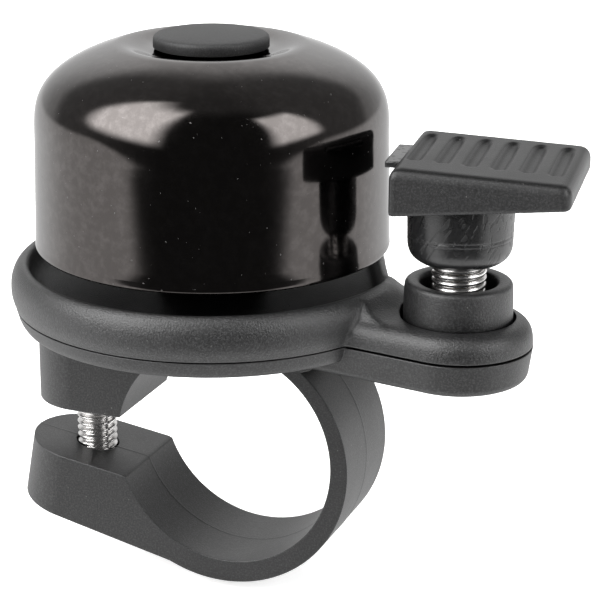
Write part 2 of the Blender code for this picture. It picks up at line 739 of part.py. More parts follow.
def build():
    clear_scene()
    black_chrome = material("black_chrome", (0.012, 0.01, 0.01), 0.08, 0.9)
    shell_plastic = material("shell_plastic", (0.05, 0.05, 0.052), 0.55)
    stem_plastic = material("stem_plastic", (0.035, 0.035, 0.037), 0.35)
    bright_steel = material("bright_steel", (0.62, 0.61, 0.6), 0.25, 1.0)
    brass = material("brass", (0.65, 0.48, 0.22), 0.35, 1.0)
    nylon = material("nylon", (0.75, 0.74, 0.7), 0.5)

    base_lower(shell_plastic)
    base_upper(shell_plastic)
    shell_screws(bright_steel)
    dome(black_chrome)
    cap(shell_plastic)
    dome_fixings(bright_steel, brass, nylon)
    clamp_band(shell_plastic)
    clamp_hardware(bright_steel)
    striker(shell_plastic, stem_plastic, bright_steel, brass)


build()
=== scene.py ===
"""Looks of the bicycle bell: fine meshes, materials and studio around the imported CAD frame.

Lengths are in millimetres in the part's own frame and are scaled once, when a mesh is made.
Places and main sizes come from the boxes of the CAD nodes.
"""

import json
import math

import bmesh
import bpy
from mathutils import Matrix, Vector


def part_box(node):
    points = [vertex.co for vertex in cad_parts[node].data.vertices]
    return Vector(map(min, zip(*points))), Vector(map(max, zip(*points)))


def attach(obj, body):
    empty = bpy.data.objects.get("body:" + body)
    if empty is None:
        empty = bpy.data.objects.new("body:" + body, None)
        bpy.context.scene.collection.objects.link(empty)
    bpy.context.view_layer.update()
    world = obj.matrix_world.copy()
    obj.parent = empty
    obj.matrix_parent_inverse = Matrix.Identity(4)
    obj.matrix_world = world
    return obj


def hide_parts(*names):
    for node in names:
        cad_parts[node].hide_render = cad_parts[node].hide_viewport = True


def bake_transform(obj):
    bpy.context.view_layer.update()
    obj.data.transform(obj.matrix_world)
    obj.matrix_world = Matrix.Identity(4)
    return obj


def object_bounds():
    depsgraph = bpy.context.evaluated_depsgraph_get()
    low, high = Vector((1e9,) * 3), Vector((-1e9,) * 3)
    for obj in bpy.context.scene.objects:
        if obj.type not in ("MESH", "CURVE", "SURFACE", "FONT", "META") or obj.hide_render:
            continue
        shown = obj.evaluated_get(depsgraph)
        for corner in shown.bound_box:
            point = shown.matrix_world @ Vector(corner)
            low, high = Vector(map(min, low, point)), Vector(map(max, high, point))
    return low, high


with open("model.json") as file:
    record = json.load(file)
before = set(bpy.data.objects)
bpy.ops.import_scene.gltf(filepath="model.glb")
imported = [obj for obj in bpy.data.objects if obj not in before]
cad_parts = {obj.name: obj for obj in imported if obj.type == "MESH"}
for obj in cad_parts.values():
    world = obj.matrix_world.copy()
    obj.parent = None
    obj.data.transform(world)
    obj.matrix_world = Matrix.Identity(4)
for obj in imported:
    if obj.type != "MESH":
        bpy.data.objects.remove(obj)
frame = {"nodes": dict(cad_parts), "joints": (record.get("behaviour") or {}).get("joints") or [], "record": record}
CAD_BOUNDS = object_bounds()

MM = 0.001


def box_mm(node):
    low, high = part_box(node)
    return low / MM, high / MM


# --- sizes read from the frame ----------------------------------------------------------
dome_low, dome_high = box_mm("dome")
upper_low, _ = box_mm("base_upper")
lower_low, lower_high = box_mm("base_lower")
cup_low, cup_high = box_mm("cup")
stem_low, stem_high = box_mm("stem")
cap_low, cap_high = box_mm("cap")
tab_low, tab_high = box_mm("striker_tab")
band_low, band_high = box_mm("clamp_band")
washer_low, washer_high = box_mm("clamp_washer")
screw_low, screw_high = box_mm("clamp_screw")
spring_low, _ = box_mm("spring")
joints = {joint["name"]: joint for joint in frame["joints"]}

DOME_X = (dome_low.x + dome_high.x) / 2
RIM_R = (dome_high.y - dome_low.y) / 2 - 0.03
RIM_Z = dome_low.z
WALL_R = RIM_R - 0.23
WALL_TOP = RIM_Z + 10.9          # where the straight wall turns into the shoulder
CROWN_RISE = 9.9                 # from the top of the wall to the apex of the shoulder curve
SHELL_THICK = 0.9
DIMPLE_R = 9.2
DIMPLE_FLAT_R = 4.6
DIMPLE_DEEP = 1.4
CAP_R = (cap_high.y - cap_low.y) / 2

SEAM_Z = lower_high.z            # joint plane of the two base shells
SEAM_TOP = upper_low.z
DISC_R = 19.05
DISC_UNDER = 1.2                 # underside of the disc
FLAT_HEADING = math.radians(23.2)    # direction the flat beside the ear faces
FLAT_REACH = 16.9                # distance of that flat from the dome's axis
FILLET_FOOT_Z = 5.35             # the fillet above the ear is relaxed from here up
FILLET_INSIDE, FILLET_OUTSIDE = 0.9, 5.0    # how far to both sides of the flat
FLAT_HALF = 12.0                 # half length of the flat stretch of rim

CUP_X = (cup_low.x + cup_high.x) / 2
CUP_Y = (cup_low.y + cup_high.y) / 2
CUP_TOP = cup_high.z
CUP_R = 5.0
CUP_GAP = 0.3
PEG_HOLE_R = 1.25                # hole for the spring's pegs in the cup and the stem
FLANGE_ROOM_R, FLANGE_ROOM_Z = 5.9, 0.8     # recess under the ear for the cup's flange
EAR_END = Vector((CUP_X + 0.15, CUP_Y - 0.35))
EAR_R = 6.85
EAR_ROOT = Vector((8.0, -2.4))
EAR_ROOT_R = 5.5
EAR_UNDER = -0.3
EAR_TOP = 5.3
EAR_DRAFT = 0.13

BAR_R = 11.1
BORE_Z = -BAR_R
LAND_HALF = 1.5
CLAMP_HALF = (band_high.y - band_low.y) / 2
SCREW_X = (washer_low.x + washer_high.x) / 2
SCREW_R = 2.0
SCREW_PITCH = 0.7
THREAD_DEPTH = 0.36
HEAD_R = 3.5
WASHER_R, WASHER_HOLE_R = 3.9, 2.3
LUG_HOLE_SLACK = 0.16            # room round the screw in the lower lug
NUT_HOLE_SLACK = 0.45            # room round the screw in the upper lug
NUT_POCKET_HALF, NUT_POCKET_Z = 3.8, -4.2   # half width across flats, and floor
HEAD_ROOM_R, HEAD_ROOM_REACH = 4.4, 0.9     # counterbore for the head, drawn out to a slot
LUG_FACE_Z = lower_low.z
LUG_END_R = 5.6
HINGE_ANGLE = math.radians(50)
BAND_ROOT_R = 12.5
BAND_SWELL = 0.95
BAND_SWEEP = 115
LOWER_TOP_BORE = (-10.75, -14.95)
LOWER_TOP_END = (-23.5, -13.05)
LOWER_FOOT = (-24.5, -19.1)
LOWER_END_TILT = math.radians(10)
PARTING_HALF = 0.16              # half width of the mould's parting line
PARTING_PROUD = 0.03

STRIKE_YAW = math.radians(7.1)
SPRING_R = 2.21
WIRE_R = 0.29
SPRING_PITCH = 0.64
SPRING_TURNS = 12.75
STEM_R = 4.85
STEM_BORE_R, STEM_BORE_Z = 2.95, 13.55      # room for the spring's upper end
STEM_TOP = stem_high.z
LEVER_IN, LEVER_OUT = -5.18, 10.6
LEVER_HALF = 7.75
LEVER_TOP_IN, LEVER_TOP_OUT = 20.62, 19.98
LEVER_LOW_IN, LEVER_LOW_OUT = 16.22, 17.82
GROOVES = 6
GROOVE_FIRST, GROOVE_STEP = -3.7, 2.5
GROOVE_R, GROOVE_DEEP = 0.8, 0.42
GROOVE_FRONT = -3.6              # front end of the first groove, from the cup's axis
GROOVE_BACK = 4.6                # where the grooves begin to run out towards the far edge
LEVER_ROUND = 1.1                # radius of the lever's corners

ROUND = 192                      # segments of the large turned pieces
SMALL = 96

CAMERA_AZIMUTH = math.radians(21.88)
CAMERA_ELEVATION = math.radians(18.6)
CAMERA_PLACE = Vector((73.30, -176.23, 66.64))
CAMERA_LENS = 125.2
CAMERA_SENSOR = 36.0
CAMERA_SHIFT = (0.0536, 0.0078)


# --- mesh helpers -----------------------------------------------------------------------
def mesh_object(name, bm):
    """Turns a bmesh in millimetres into an object in metres."""
    bmesh.ops.recalc_face_normals(bm, faces=bm.faces)
    bmesh.ops.scale(bm, vec=(MM, MM, MM), verts=bm.verts)
    mesh = bpy.data.meshes.new(name)
    bm.to_mesh(mesh)
    bm.free()
    obj = bpy.data.objects.new(name, mesh)
    bpy.context.scene.collection.objects.link(obj)
    return obj


def skin(name, rings, closed=False):
    """Solid through rings of points; all rings have the same count, or one point for a pole."""
    bm = bmesh.new()
    rows = [[bm.verts.new(point) for point in ring] for ring in rings]
    count = max(len(row) for row in rows)
    pairs = list(zip(rows, rows[1:]))
    if closed:
        pairs.append((rows[-1], rows[0]))
    for low, high in pairs:
        if len(low) == 1 and len(high) == 1:
            continue
        for i in range(count):
            j = (i + 1) % count
            corners = [low[i % len(low)], low[j % len(low)], high[j % len(high)], high[i % len(high)]]
            bm.faces.new(list(dict.fromkeys(corners)))
    if not closed:
        for end in (rows[0], rows[-1]):
            if len(end) > 2:
                bm.faces.new(end)
    return mesh_object(name, bm)


def circle(x, y, radius, z, segments):
    if radius < 1e-6:
        return [(x, y, z)]
    points = []
    for i in range(segments):
        angle = 2 * math.pi * i / segments
        points.append((x + radius * math.cos(angle), y + radius * math.sin(angle), z))
    return points


def turned(name, profile, centre=(0.0, 0.0), segments=SMALL):
    """Solid of revolution about a vertical axis; profile is a closed loop of (radius, z)."""
    rings = [circle(centre[0], centre[1], radius, z, segments) for radius, z in profile]
    return skin(name, rings, closed=True)


def prism(name, outline, low, high, axis="Z"):
    """Extrudes a closed outline: (x, y) along Z, or (x, z) along Y."""
    if axis == "Z":
        rings = [[(u, v, level) for u, v in outline] for level in (low, high)]
    else:
        rings = [[(u, level, v) for u, v in outline] for level in (low, high)]
    return skin(name, rings)


def cylinder(name, centre, radius, low, high, segments=SMALL):
    return turned(name, [(0, low), (radius, low), (radius, high), (0, high)], centre, segments)


def combine(target, tool, operation):
    mod = target.modifiers.new("combine", "BOOLEAN")
    mod.operation = operation
    mod.solver = "EXACT"
    mod.object = tool
    bake(target)
    bpy.data.objects.remove(tool, do_unlink=True)
    return target


def cut(target, tool):
    return combine(target, tool, "DIFFERENCE")


def join(target, tool):
    return combine(target, tool, "UNION")


def bake(obj):
    """Replaces the mesh with its evaluated one and tidies what the booleans leave."""
    graph = bpy.context.evaluated_depsgraph_get()
    mesh = bpy.data.meshes.new_from_object(obj.evaluated_get(graph))
    old = obj.data
    obj.modifiers.clear()
    obj.data = mesh
    bpy.data.meshes.remove(old)
    bm = bmesh.new()
    bm.from_mesh(mesh)
    bmesh.ops.remove_doubles(bm, verts=bm.verts, dist=1e-6)
    bmesh.ops.dissolve_degenerate(bm, edges=bm.edges, dist=5e-7)
    bm.to_mesh(mesh)
    bm.free()


def bevel(obj, width, segments=4, angle=40):
    mod = obj.modifiers.new("bevel", "BEVEL")
    mod.width = width * MM
    mod.segments = segments
    mod.limit_method = "ANGLE"
    mod.angle_limit = math.radians(angle)
    bake(obj)


def melt(obj, voxel, passes):
    """Rebuilds the surface from small cells and relaxes it, which rounds every edge and corner."""
    mod = obj.modifiers.new("remesh", "REMESH")
    mod.mode = "VOXEL"
    mod.voxel_size = voxel * MM
    mod = obj.modifiers.new("relax", "SMOOTH")
    mod.factor = 0.5
    mod.iterations = passes
    bake(obj)


def turn(obj, angle, about):
    """Rotates the mesh about a vertical axis through a point."""
    x, y = about[0] * MM, about[1] * MM
    to_axis = Matrix.Translation((-x, -y, 0))
    obj.data.transform(to_axis.inverted() @ Matrix.Rotation(angle, 4, "Z") @ to_axis)


def dress(obj, mat, slot, *nodes, angle=35):
    """Smooth shading with weighted normals, the material, and the CAD nodes the piece stands for."""
    obj.data.materials.clear()
    obj.data.materials.append(mat)
    obj.data.shade_smooth()
    obj.data.set_sharp_from_angle(angle=math.radians(angle))
    weighted = obj.modifiers.new("weighted_normals", "WEIGHTED_NORMAL")
    weighted.keep_sharp = True
    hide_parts(*nodes)
    return obj


# --- outlines -----------------------------------------------------------------------------
def arc(cx, cy, radius, start, end, steps):
    """Points on an arc, angles in degrees, both ends included."""
    points = []
    for i in range(steps + 1):
        angle = math.radians(start + (end - start) * i / steps)
        points.append((cx + radius * math.cos(angle), cy + radius * math.sin(angle)))
    return points


def rounded(points, passes=3):
    """Cuts the corners of an open line again and again, so that it turns into a soft curve."""
    for _ in range(passes):
        soft = [points[0]]
        for a, b in zip(points, points[1:]):
            soft.append((0.75 * a[0] + 0.25 * b[0], 0.75 * a[1] + 0.25 * b[1]))
            soft.append((0.25 * a[0] + 0.75 * b[0], 0.25 * a[1] + 0.75 * b[1]))
        soft.append(points[-1])
        points = soft
    return points


def box_outline(x0, x1, y0, y1):
    return [(x0, y0), (x1, y0), (x1, y1), (x0, y1)]


def hexagon(x, y, half_flats):
    corner = half_flats / math.cos(math.pi / 6)
    return arc(x, y, corner, 0, 300, 5)


def slot_outline(x, radius, reach):
    return arc(x + reach, 0, radius, -90, 90, 32) + arc(x, 0, radius, 90, 270, 32)


def lug_outline(end_x, start_x):
    """Plan of a lug: straight sides and a round end."""
    return arc(end_x, 0, LUG_END_R, 90, 270, 72) + [(start_x, -CLAMP_HALF), (start_x, CLAMP_HALF)]


def bore_point(angle, radius):
    return (radius * math.cos(angle), BORE_Z + radius * math.sin(angle))


def bore_outline():
    half = math.degrees(math.asin(LAND_HALF / BAR_R))
    return arc(0, BORE_Z, BAR_R, 90 + half, 450 - half, 240) + [(LAND_HALF, 0), (-LAND_HALF, 0)]


def band_outer_radius(angle):
    around = (HINGE_ANGLE - angle) / (HINGE_ANGLE + math.radians(BAND_SWEEP))
    return BAND_ROOT_R + BAND_SWELL * around


def ear_outline(shrink=0.0):
    """Plan of the striker's ear: two circles and their common tangents."""
    along = EAR_END - EAR_ROOT
    heading = math.degrees(math.atan2(along.y, along.x))
    lean = math.degrees(math.asin((EAR_R - EAR_ROOT_R) / along.length))
    back, front = heading + 90 + lean, heading - 90 - lean
    tip = arc(EAR_END.x, EAR_END.y, EAR_R - shrink, front, back, 96)
    back_root = arc(EAR_ROOT.x, EAR_ROOT.y, EAR_ROOT_R - shrink, back, back + 25, 6)
    front_root = arc(EAR_ROOT.x, EAR_ROOT.y, EAR_ROOT_R - shrink, front - 25, front, 6)
    return tip + back_root + front_root


def ear_stack(name, levels):
    """Solid through the ear's plan at several heights; levels holds (shrink, z)."""
    rings = []
    for shrink, z in levels:
        rings.append([(x, y, z) for x, y in ear_outline(shrink)])
    return skin(name, rings)


def along_flat(name, profile, half_length):
    """Extrudes a (distance from the dome axis, z) profile along the flat beside the ear."""
    obj = prism(name, [(DOME_X + u, z) for u, z in profile], -half_length, half_length, "Y")
    turn(obj, FLAT_HEADING, (DOME_X, 0))
    return obj


def behind_flat(reach):
    """Block that holds everything beyond the flat."""
    return along_flat("behind_flat", box_outline(reach, 30, 0, 12), 30)


def dome_height(radius):
    """Height of the dome's outside over its rounded shoulder, with the dimple round the cap."""
    shoulder = (1 - (radius / WALL_R) ** 1.336) ** (1 / 3.231)
    t = min(max((DIMPLE_R - radius) / 3.8, 0.0), 1.0)
    return WALL_TOP + CROWN_RISE * shoulder - DIMPLE_DEEP * t * t * (3 - 2 * t)


# --- node helpers -------------------------------------------------------------------------
class Graph:
    """Short calls for building a node tree."""

    def __init__(self, tree):
        self.tree = tree
        tree.nodes.clear()

    def plug(self, socket, value):
        if isinstance(value, bpy.types.NodeSocket):
            self.tree.links.new(value, socket)
        else:
            socket.default_value = value

    def add(self, kind, inputs=None, **settings):
        node = self.tree.nodes.new(kind)
        for key, value in settings.items():
            setattr(node, key, value)
        for key, value in (inputs or {}).items():
            self.plug(node.inputs[key], value)
        return node

    def math(self, operation, *values):
        node = self.add("ShaderNodeMath", operation=operation)
        for socket, value in zip(node.inputs, values):
            self.plug(socket, value)
        return node.outputs[0]

    def step(self, value, low, high, to_low=0.0, to_high=1.0):
        """Runs smoothly from to_low to to_high while value runs from low to high."""
        node = self.add("ShaderNodeMapRange", interpolation_type="SMOOTHSTEP")
        for socket, given in zip(node.inputs, (value, low, high, to_low, to_high)):
            self.plug(socket, given)
        return node.outputs[0]

    def noise(self, place, scale, detail=2.0, roughness=0.5):
        inputs = {"Vector": place, "Scale": scale, "Detail": detail, "Roughness": roughness}
        return self.add("ShaderNodeTexNoise", inputs).outputs[0]

    def mix(self, factor, a, b):
        node = self.add("ShaderNodeMix", data_type="RGBA")
        self.plug(node.inputs[0], factor)
        self.plug(node.inputs[6], a)
        self.plug(node.inputs[7], b)
        return node.outputs[2]


def new_material(name):
    mat = bpy.data.materials.new(name)
    mat.use_nodes = True
    return mat, Graph(mat.node_tree)


def rgba(colour):
    return (*colour, 1.0)


def output(graph, shader_inputs):
    shader = graph.add("ShaderNodeBsdfPrincipled", shader_inputs)
    graph.add("ShaderNodeOutputMaterial", {"Surface": shader.outputs[0]})


GRAIN = 0.17                     # size of the moulded grain
# Painted shade in creases: these set how far round a point and how strongly colour and reflection are darkened.
CREASE_REACH = 3.0               # how far round a point its surroundings darken it
CREASE_DARK, CREASE_CLEAR = 0.2, 0.85       # share of open space where darkening is full and ends


def plastic(name, colour, roughness, grain=GRAIN, grain_depth=0.012, edge=0.2, scratches=0.0,
            sparkle=2.6, ior=1.54, dish_shade_within=0.0, top_shade=1.0):
    """Moulded plastic: fine grain, cloudy tone, softened, slightly smoother edges with a painted highlight, a
    little dust.

    Lengths are in millimetres: grain is the size of the texture's bumps, grain_depth their height
    and edge the radius of the edges. scratches is the depth of slanting rub marks against the grain
    and sparkle the brightness of the grain's lightest spots. dish_shade_within is the radius round the
    dome's axis inside which the dish gets painted shade, and rubbed is below 1 where the faces that
    look up get painted shade. Creases get painted shade in their colour and reflection."""
    mat, graph = new_material(name)
    place = graph.add("ShaderNodeTexCoord").outputs["Object"]
    soft = graph.add("ShaderNodeBevel", {"Radius": edge * MM}, samples=6).outputs[0]
    flat = graph.add("ShaderNodeNewGeometry").outputs["Normal"]
    facing = graph.add("ShaderNodeVectorMath", {0: soft, 1: flat}, operation="DOT_PRODUCT").outputs["Value"]
    on_edge = graph.step(facing, 0.995, 0.93)

    speckle = graph.noise(place, 1 / (grain * MM), 3.0, 0.6)
    cloud = graph.noise(place, 1 / (6 * MM), 3.0, 0.55)
    dust = graph.step(graph.noise(place, 1 / (0.3 * MM), 1.0), 0.76, 0.82)
    tone = graph.math("ADD", graph.math("MULTIPLY", cloud, 0.35), 0.82)
    tone = graph.math("MULTIPLY", tone, graph.step(speckle, 0.4, 0.74, 0.5, sparkle))
    # Painted shade: the share of open space round each point darkens creases.
    unshaded_share = graph.add("ShaderNodeAmbientOcclusion", {"Distance": CREASE_REACH * MM}, samples=5)
    unshaded_share = unshaded_share.outputs["AO"]
    # Painted shade in the dish: inside this radius round the dome's axis the colour and reflection are darkened.
    if dish_shade_within:
        level = graph.add("ShaderNodeVectorMath", {0: place, 1: (1, 1, 0)}, operation="MULTIPLY").outputs[0]
        reach = graph.add("ShaderNodeVectorMath", {0: level, 1: (DOME_X * MM, 0, 0)}, operation="DISTANCE")
        inner, outer = (dish_shade_within - 0.4) * MM, (dish_shade_within + 0.3) * MM
        glow = graph.step(reach.outputs["Value"], inner, outer, 0.3, 1.0)
        unshaded_share = graph.math("MULTIPLY", unshaded_share, glow)
    # Painted shade on faces that look up, as strong as the factor given for them.
    upward = graph.add("ShaderNodeSeparateXYZ", {0: flat}).outputs[2]
    unshaded_share = graph.math("MULTIPLY", unshaded_share, graph.step(upward, 0.55, 0.9, 1.0, top_shade))
    # The painted shade goes into the colour here.
    tone = graph.math("MULTIPLY", tone, graph.step(unshaded_share, CREASE_DARK, CREASE_CLEAR, 0.3, 1.0))
    shade = graph.add("ShaderNodeVectorMath", {0: colour, "Scale": tone}, operation="SCALE").outputs[0]
    # Painted highlight: the edges are lightened in colour; their lower roughness is a real smoother finish.
    highlight_colour = rgba([c * 2.2 + 0.01 for c in colour])
    with_edge_highlight = graph.mix(graph.math("MULTIPLY", on_edge, 0.5), shade, highlight_colour)
    dusty = graph.mix(graph.math("MULTIPLY", dust, 0.2), with_edge_highlight, rgba((0.3, 0.3, 0.29)))
    rough = graph.math("ADD", graph.math("MULTIPLY", cloud, 0.12), roughness - 0.06)
    rough = graph.math("SUBTRACT", rough, graph.math("MULTIPLY", on_edge, 0.1))

    height = speckle
    if scratches:
        stretched = graph.add("ShaderNodeMapping", {
            "Vector": place, "Rotation": (0.15, 0.65, 0.0), "Scale": (1.0, 1.0, 14.0)},
            vector_type="TEXTURE").outputs[0]
        scratch = graph.step(graph.noise(stretched, 1 / (0.4 * MM), 1.0), 0.57, 0.66)
        height = graph.math("SUBTRACT", speckle, graph.math("MULTIPLY", scratch, scratches))
        rough = graph.math("ADD", rough, graph.math("MULTIPLY", scratch, 0.15))
    bump = graph.add("ShaderNodeBump", {
        "Strength": 1.0, "Distance": grain_depth * MM, "Height": height, "Normal": soft})
    # The painted shade also lowers the reflection wherever the colour is shaded.
    output(graph, {
        "Base Color": dusty, "Roughness": rough, "Normal": bump.outputs[0], "IOR": ior,
        "Specular IOR Level": graph.step(unshaded_share, CREASE_DARK, CREASE_CLEAR, 0.12, 0.5)})
    return mat


def black_chrome():
    """Mirror-bright dark plating with faint haze, a mottled tone and specks of dust."""
    mat, graph = new_material("black_chrome")
    place = graph.add("ShaderNodeTexCoord").outputs["Object"]
    haze = graph.noise(place, 1 / (7 * MM), 4.0, 0.6)
    speck = graph.step(graph.noise(place, 1 / (0.25 * MM), 0.0), 0.82, 0.87)
    plain, hazy = rgba((0.056, 0.051, 0.049)), rgba((0.05, 0.046, 0.045))
    colour = graph.mix(graph.math("MULTIPLY", haze, 0.5), plain, hazy)
    mottle = graph.noise(place, 1 / (0.9 * MM), 5.0, 0.7)
    colour = graph.mix(graph.step(mottle, 0.4, 0.72), colour, rgba((0.072, 0.066, 0.064)))
    colour = graph.mix(graph.math("MULTIPLY", speck, 0.25), colour, rgba((0.3, 0.3, 0.3)))
    rough = graph.step(haze, 0.3, 0.75, 0.08, 0.13)
    rough = graph.math("ADD", rough, graph.math("MULTIPLY", speck, 0.4))
    ripple = graph.noise(place, 1 / (3.5 * MM), 2.0)
    bump = graph.add("ShaderNodeBump", {"Strength": 0.5, "Distance": 0.0015 * MM, "Height": ripple})
    output(graph, {
        "Base Color": colour, "Metallic": 1.0, "Roughness": rough, "Normal": bump.outputs[0]})
    return mat


def turned_metal(name, colour, roughness, tarnish):
    """Machined metal: fine turning marks, soft edges and a cloudy tarnish."""
    mat, graph = new_material(name)
    place = graph.add("ShaderNodeTexCoord").outputs["Object"]
    squeezed = graph.add("ShaderNodeMapping", {"Vector": place, "Scale": (0.15, 0.15, 1.0)}).outputs[0]
    marks = graph.noise(squeezed, 1 / (0.08 * MM), 3.0, 0.6)
    cloud = graph.noise(place, 1 / (1.8 * MM), 4.0, 0.6)
    tint = graph.mix(graph.step(cloud, 0.4, 0.75), rgba(colour), rgba(tarnish))
    rough = graph.math("ADD", graph.math("MULTIPLY", cloud, 0.25), roughness - 0.1)
    soft = graph.add("ShaderNodeBevel", {"Radius": 0.08 * MM}, samples=4).outputs[0]
    bump = graph.add("ShaderNodeBump", {
        "Strength": 0.2, "Distance": 0.003 * MM, "Height": marks, "Normal": soft})
    output(graph, {
        "Base Color": tint, "Metallic": 1.0, "Roughness": rough, "Normal": bump.outputs[0]})
    return mat


# --- materials ----------------------------------------------------------------------------
GREY = (0.010, 0.010, 0.0103)
LIGHTER_GREY = (0.015, 0.015, 0.0153)
LEVER_GREY = (0.031, 0.031, 0.0315)
STEM_BLACK = (0.012, 0.012, 0.0125)
MATERIALS = {
    # The dish inside the rolled rim gets painted shade.
    "shell_plastic": plastic("shell_plastic", GREY, 0.4, grain_depth=0.06, dish_shade_within=17.9),
    "stem_plastic": plastic(
        "stem_plastic", STEM_BLACK, 0.27, grain=0.3, grain_depth=0.008, scratches=2.2, sparkle=1.0),
    "black_chrome": black_chrome(),
    "bright_steel": turned_metal("bright_steel", (0.74, 0.73, 0.72), 0.22, (0.52, 0.51, 0.5)),
    "brass": turned_metal("brass", (0.65, 0.48, 0.22), 0.35, (0.4, 0.28, 0.13)),
    "nylon": plastic("nylon", (0.62, 0.61, 0.57), 0.5, grain=0.3, grain_depth=0.006),
}
LOWER_PLASTIC = plastic("lower_plastic", LIGHTER_GREY, 0.42, grain_depth=0.016, sparkle=2.0, ior=1.44)
CAP_PLASTIC = plastic("cap_plastic", GREY, 0.6, grain=0.16, grain_depth=0.03)
# The lever's faces that look up get painted shade.
LEVER_PLASTIC = plastic(
    "lever_plastic", LEVER_GREY, 0.34, grain_depth=0.014, edge=0.12, sparkle=1.0, ior=1.34, top_shade=0.4)


def paint_frame():
    """Gives each CAD node the material of its slot."""
    for part in frame["record"]["subparts"]:
        node = frame["nodes"][part["node"]]
        node.data.materials.clear()
        node.data.materials.append(MATERIALS[part["material_slot"]])


# --- base ---------------------------------------------------------------------------------
def upper_shell():
    """Dished disc with a rolled rim, the dome's post and the ear's cover.

    It is drawn too deep, rounded all over, and then trimmed at the joint plane."""
    deep = SEAM_TOP - 1.5
    post_top = dome_height(DIMPLE_FLAT_R) - SHELL_THICK - 1.1
    well_floor = post_top - 7.5
    roll = [(DISC_R - 0.15, deep)] + rounded([
        (DISC_R, SEAM_TOP), (19.38, 3.8), (19.45, 4.6), (19.4, 5.4), (19.2, 6.1), (18.8, 6.75),
        (18.3, 7.1), (17.95, 7.1), (17.65, 6.8), (17.5, 6.1), (17.1, 5.3), (16.3, 4.9), (15.6, 4.86),
    ])
    post = [(7.0, 4.72), (6.2, 4.8), (5.3, 5.2), (4.8, 6.4), (4.2, post_top)]
    bore = [(2.8, post_top), (2.8, well_floor), (1.9, well_floor)]
    shell = turned("upper_shell", [(1.9, deep)] + roll + post + bore, (DOME_X, 0), ROUND)
    cut(shell, behind_flat(FLAT_REACH))
    join(shell, flat_rim(deep))
    join(shell, ear_cover(deep))
    melt(shell, voxel=0.17, passes=20)
    soften_fillet(shell, passes=60)
    cut(shell, prism("trim", box_outline(-40, 50, -40, 40), deep - 1, SEAM_TOP))
    cut(shell, cylinder("cup_hole", (CUP_X, CUP_Y), CUP_R + CUP_GAP, SEAM_TOP - 1, EAR_TOP + 3))
    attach(dress(shell, MATERIALS["shell_plastic"], "shell_plastic", "base_upper"), "base")


def soften_fillet(shell, passes):
    """Relaxes the shell where the ear's fillet climbs to the flat stretch of the rim."""
    to_flat = Matrix.Rotation(-FLAT_HEADING, 3, "Z")
    bm = bmesh.new()
    bm.from_mesh(shell.data)
    chosen = []
    for vert in bm.verts:
        place = to_flat @ (vert.co / MM - Vector((DOME_X, 0, 0)))
        beyond = place.x - FLAT_REACH
        if place.z > FILLET_FOOT_Z and -FILLET_INSIDE < beyond < FILLET_OUTSIDE and abs(place.y) < FLAT_HALF:
            chosen.append(vert)
    for _ in range(passes):
        bmesh.ops.smooth_vert(bm, verts=chosen, factor=0.5, use_axis_x=True, use_axis_y=True, use_axis_z=True)
    bm.to_mesh(shell.data)
    bm.free()


def flat_rim(deep):
    """Straight stretch of the rolled rim beside the ear."""
    inset_profile = [(1.9, deep + 0.2), (0.05, deep + 0.2)] + rounded([
        (0.0, 4.8), (0.25, 6.1), (0.6, 6.75), (1.0, 6.95), (1.35, 6.75), (1.6, 6.1), (1.7, 5.1),
    ])
    rim = along_flat("flat_rim", [(FLAT_REACH - inset, z) for inset, z in inset_profile], FLAT_HALF)
    return combine(rim, cylinder("within", (DOME_X, 0), 18.5, 0, 12, ROUND), "INTERSECT")


def ear_cover(deep):
    """Cover of the ear with a rounded top edge and a fillet up to the disc's rim."""
    crown = rounded([(0.0, SEAM_TOP), (0.05, 3.9), (0.2, 4.4), (0.55, 4.9), (1.0, 5.18), (1.6, EAR_TOP)])
    cover = ear_stack("ear_cover", [(0.05, deep)] + crown)
    fillet = turned("fillet", fillet_slope(18.85, 0), (DOME_X, 0), ROUND)
    combine(fillet, along_flat("flat_fillet", fillet_slope(FLAT_REACH - 0.3, -25), 30), "INTERSECT")
    zone = [(1.1, 4.0), (1.1, 5.2), (1.3, 5.6), (1.9, 6.4), (3.2, 8.0)]
    combine(fillet, ear_stack("zone", zone), "INTERSECT")
    join(cover, fillet)
    disc_room = cylinder("disc_room", (DOME_X, 0), 17.95, deep - 1, 9, ROUND)
    cut(disc_room, behind_flat(FLAT_REACH - 0.6))
    return cut(cover, disc_room)


def fillet_slope(foot, inner):
    """Profile of the fillet: from the rim's top at the foot out to the ear's flat top."""
    slope = rounded([
        (foot + 3.3, EAR_TOP - 0.1), (foot + 2.3, 5.45), (foot + 1.4, 5.85), (foot + 0.7, 6.4),
        (foot + 0.2, 6.85),
    ], 2)
    return [(inner, 4.5), (foot + 3.3, 4.5)] + slope + [(inner, 6.9)]


